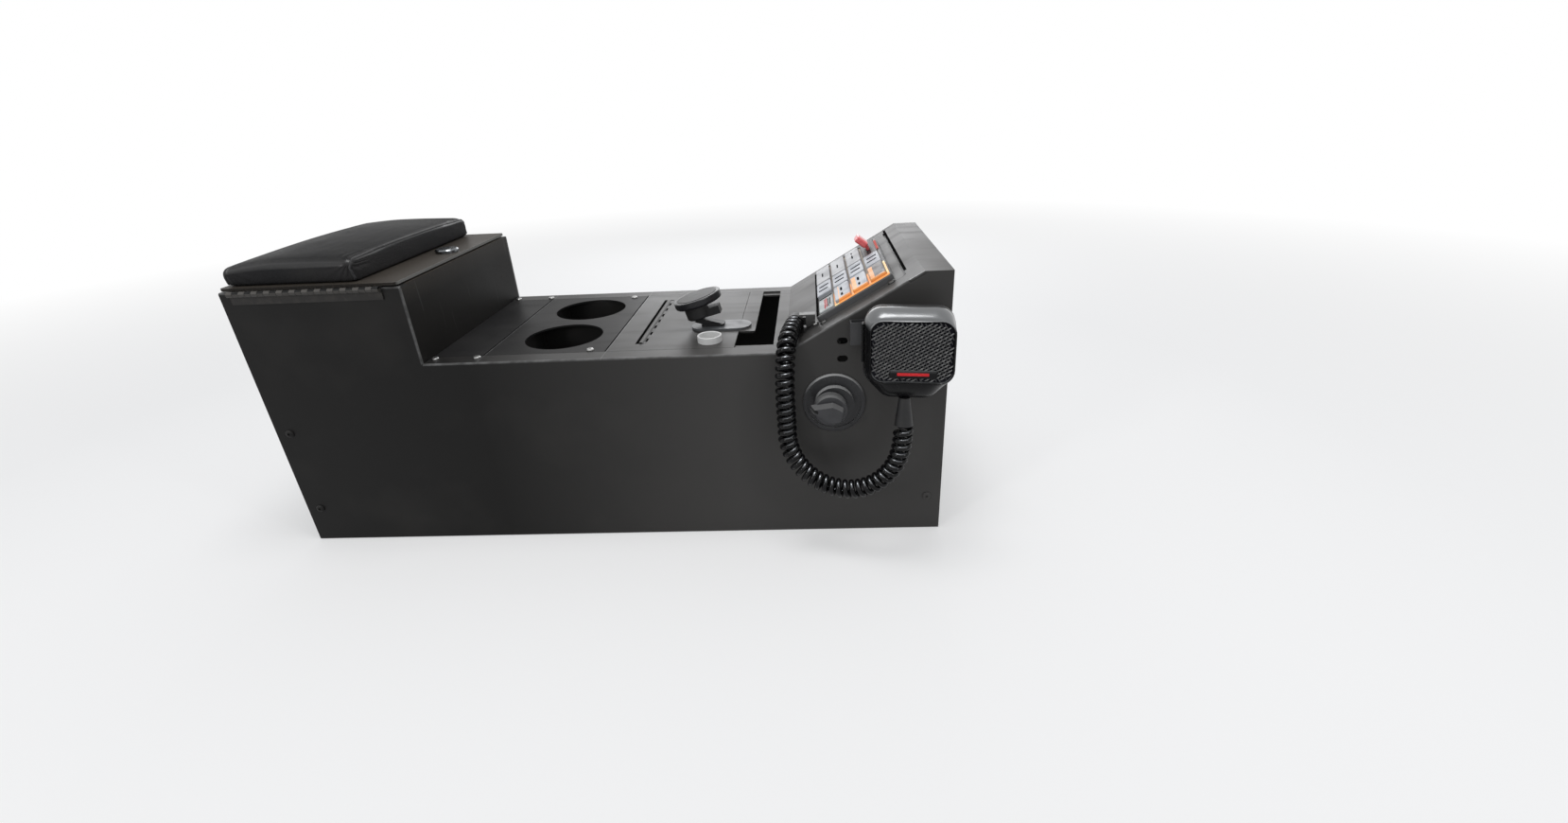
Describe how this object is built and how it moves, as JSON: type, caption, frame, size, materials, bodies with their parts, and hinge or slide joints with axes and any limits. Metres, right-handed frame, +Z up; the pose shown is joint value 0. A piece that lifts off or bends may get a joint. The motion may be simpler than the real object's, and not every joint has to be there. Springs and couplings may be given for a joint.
{
  "type": "police car centre equipment console",
  "caption": "Folded steel centre console with armrest storage box, cup holders, open equipment bay, sloping key panel, telephone mount and hand microphone on a coiled cord.",
  "frame": {"origin": "centre of the four floor bolts, at the underside of the floor flanges", "axes": "+X forward in the car, +Y towards the driver of a left-hand drive car, +Z up"},
  "size_m": [0.672, 0.2957, 0.303],
  "materials": {
    "shell_paint": "fine-textured black powder coat, dusty on the flat tops",
    "hinge_steel": "black-coated steel, worn bright on the knuckles",
    "armrest_vinyl": "black grained vinyl over foam",
    "lock_chrome": "polished chrome",
    "plain_steel": "plated steel",
    "mat_rubber": "ribbed black rubber",
    "socket_white": "off-white moulded plastic",
    "case_black": "black moulded plastic, lightly textured",
    "mic_gloss": "semi-gloss black moulded plastic",
    "grille_weave": "dark woven wire grille",
    "key_white": "translucent white keycaps",
    "key_dark": "dark grey keycap",
    "glow_orange": "lit orange diffuser",
    "lever_red": "red moulded plastic",
    "mount_grey": "satin grey metal-look plastic",
    "cord_black": "glossy black coiled jacket"
  },
  "bodies": {
    "console": {"side_panel_near": "shell_paint", "side_panel_far": "shell_paint", "plate_ledge_near": "shell_paint", "plate_ledge_far": "shell_paint", "rear_panel": "shell_paint", "front_panel": "shell_paint", "box_front_wall": "shell_paint", "box_floor": "shell_paint", "rear_trim_plate": "shell_paint", "cup_plate": "shell_paint", "cup_tray": "shell_paint", "cup_mats": "mat_rubber", "deck_plate": "shell_paint", "slot_bracket": "shell_paint", "filler_plate": "shell_paint", "socket_ring": "socket_white", "socket_cup": "socket_white", "slope_panel": "shell_paint", "top_panel": "shell_paint", "panel_housing": "case_black", "panel_face": "case_black", "white_keys": "key_white", "label_plate": "key_white", "dark_key": "key_dark", "backlight": "glow_orange", "slide_track": "case_black", "slide_lever": "lever_red", "hinge_leaf_fixed": "hinge_steel", "hinge_pin": "hinge_steel", "phone_base": "mount_grey", "phone_arm": "case_black", "mic_back": "case_black", "mic_front": "mic_gloss", "mic_grille": "grille_weave", "mic_button": "mic_gloss", "mic_stud": "case_black", "mic_clip": "plain_steel", "mic_relief": "case_black", "side_flange": "mic_gloss", "side_pointer": "mic_gloss", "cord_tab": "plain_steel", "cord_anchor": "case_black", "curly_cord": "cord_black"},
    "lid": {"lid_plate": "shell_paint", "lid_cushion": "armrest_vinyl", "lid_lock": "lock_chrome", "hinge_leaf_moving": "hinge_steel"},
    "phone_socket": {"phone_collar": "case_black"},
    "phone_top": {"phone_head": "mount_grey"}
  },
  "joints": [
    {"name": "lid_hinge", "type": "hinge", "parent": "console", "child": "lid", "pos_m": [-0.253, -0.1217, 0.2748], "axis": [1, 0, 0], "range_deg": [0, 100]},
    {"name": "head_tilt", "type": "hinge", "parent": "console", "child": "phone_socket", "pos_m": [0.091, -0.032, 0.215], "axis": [0, 1, 0], "range_deg": [-15, 15]},
    {"name": "head_turn", "type": "hinge", "parent": "phone_socket", "child": "phone_top", "pos_m": [0.09583, -0.032, 0.21629], "axis": [-0.2588, 0, 0.9659], "continuous": true}
  ]
}
